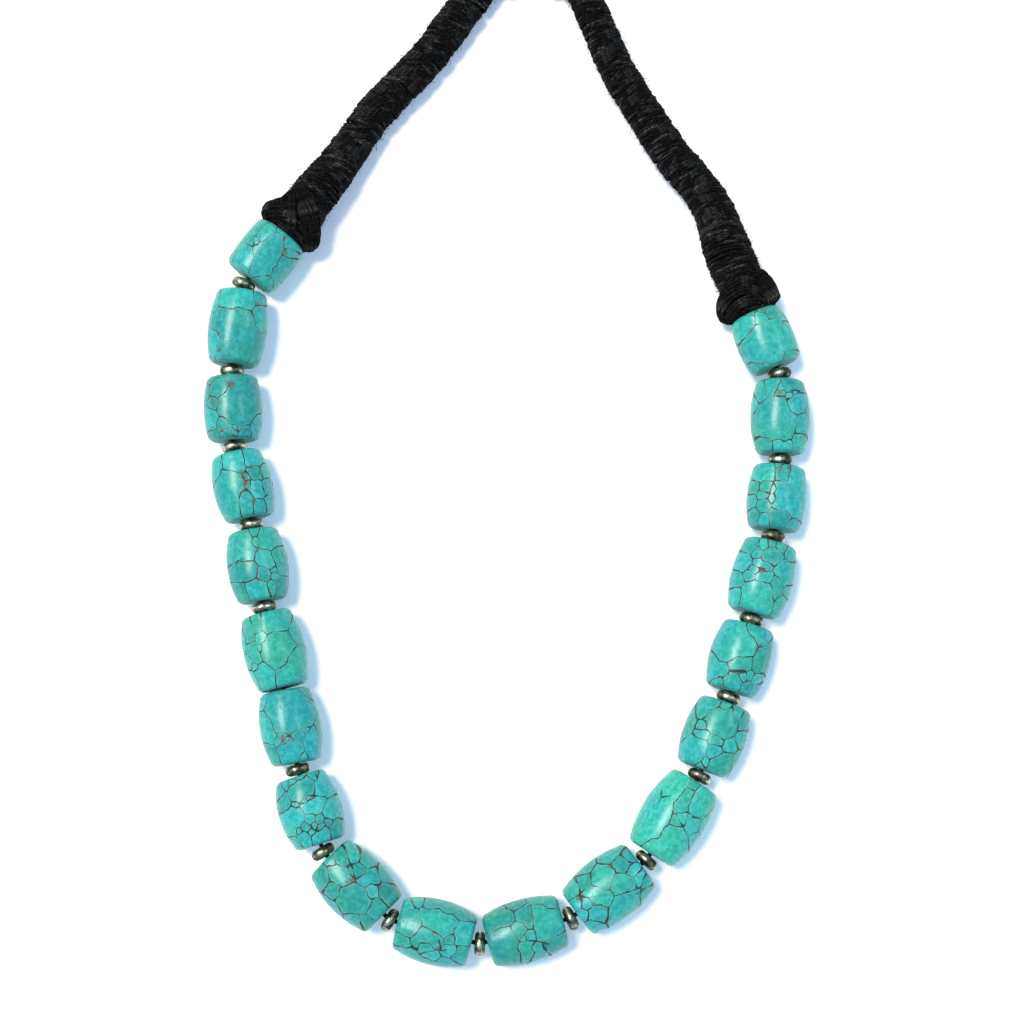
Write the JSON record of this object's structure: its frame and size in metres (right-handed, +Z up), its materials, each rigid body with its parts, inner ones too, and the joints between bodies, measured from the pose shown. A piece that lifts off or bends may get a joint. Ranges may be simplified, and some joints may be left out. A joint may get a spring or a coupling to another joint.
{
  "type": "beaded necklace",
  "caption": "Necklace of veined turquoise barrel beads with dark metal spacer rings, on thick cords wound in black cotton that join in a plain bent clasp.",
  "frame": {"origin": "middle of the box round the beads, spacers, thread and knots, on the surface that the necklace lies on", "axes": "+Z up from the surface, +Y from the front of the string of beads to the clasp behind the neck, +X to the right of the picture"},
  "size_m": [0.1266, 0.2154, 0.0134],
  "materials": {
    "turquoise": "polished blue-green stone with fine brown-grey veins",
    "dark_metal": "antiqued dark metal, polished on the rim",
    "black_cotton": "matt wound cotton thread",
    "clasp_metal": "plain antiqued metal, satin"
  },
  "bodies": {
    "root": {"bead_01": "turquoise", "bead_02": "turquoise", "bead_03": "turquoise", "bead_04": "turquoise", "bead_05": "turquoise", "bead_06": "turquoise", "bead_07": "turquoise", "bead_08": "turquoise", "bead_09": "turquoise", "bead_10": "turquoise", "bead_11": "turquoise", "bead_12": "turquoise", "bead_13": "turquoise", "bead_14": "turquoise", "bead_15": "turquoise", "bead_16": "turquoise", "bead_17": "turquoise", "bead_18": "turquoise", "bead_19": "turquoise", "spacer_01": "dark_metal", "spacer_02": "dark_metal", "spacer_03": "dark_metal", "spacer_04": "dark_metal", "spacer_05": "dark_metal", "spacer_06": "dark_metal", "spacer_07": "dark_metal", "spacer_08": "dark_metal", "spacer_09": "dark_metal", "spacer_10": "dark_metal", "spacer_11": "dark_metal", "spacer_12": "dark_metal", "spacer_13": "dark_metal", "spacer_14": "dark_metal", "spacer_15": "dark_metal", "spacer_16": "dark_metal", "spacer_17": "dark_metal", "thread": "black_cotton", "knot_left": "black_cotton", "knot_right": "black_cotton", "cord_left": "black_cotton", "cord_right": "black_cotton", "clasp": "clasp_metal"}
  },
  "joints": []
}
